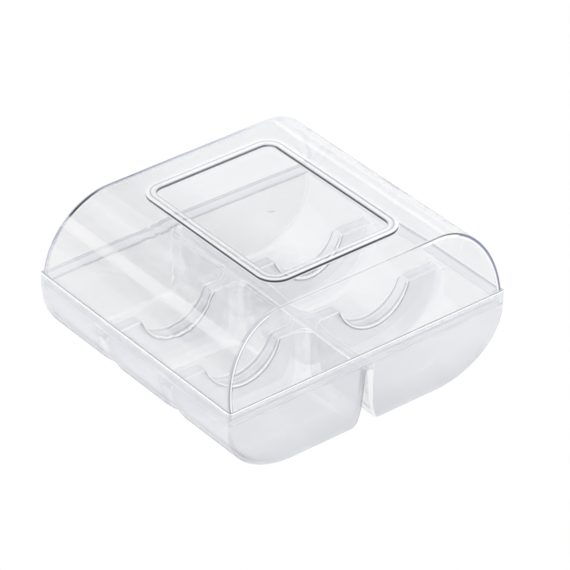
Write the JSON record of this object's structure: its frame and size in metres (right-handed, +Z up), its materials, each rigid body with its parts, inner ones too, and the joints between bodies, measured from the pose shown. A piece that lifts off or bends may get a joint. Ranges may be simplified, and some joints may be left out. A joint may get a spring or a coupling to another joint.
{
  "type": "macaron box",
  "caption": "Clear rigid pastry box: a base tray of round-bottomed cells with scooped dividers, and a domed lift-off lid with a raised label frame.",
  "frame": {"origin": "bottom centre of the base tray, on the plane it stands on", "axes": "+Z up, +Y along the two rows of cells, +X across the rows"},
  "size_m": [0.1074, 0.0976, 0.055],
  "materials": {
    "clear_base": "crystal clear moulded polystyrene, polished",
    "clear_lid": "crystal clear moulded polystyrene, polished"
  },
  "bodies": {
    "base": {"base_tray": "clear_base"},
    "lid": {"lid": "clear_lid"}
  },
  "joints": [
    {"name": "lid_lift", "type": "slide", "parent": "base", "child": "lid", "axis": [0, 0, 1], "range_m": [0, 0.045]}
  ]
}
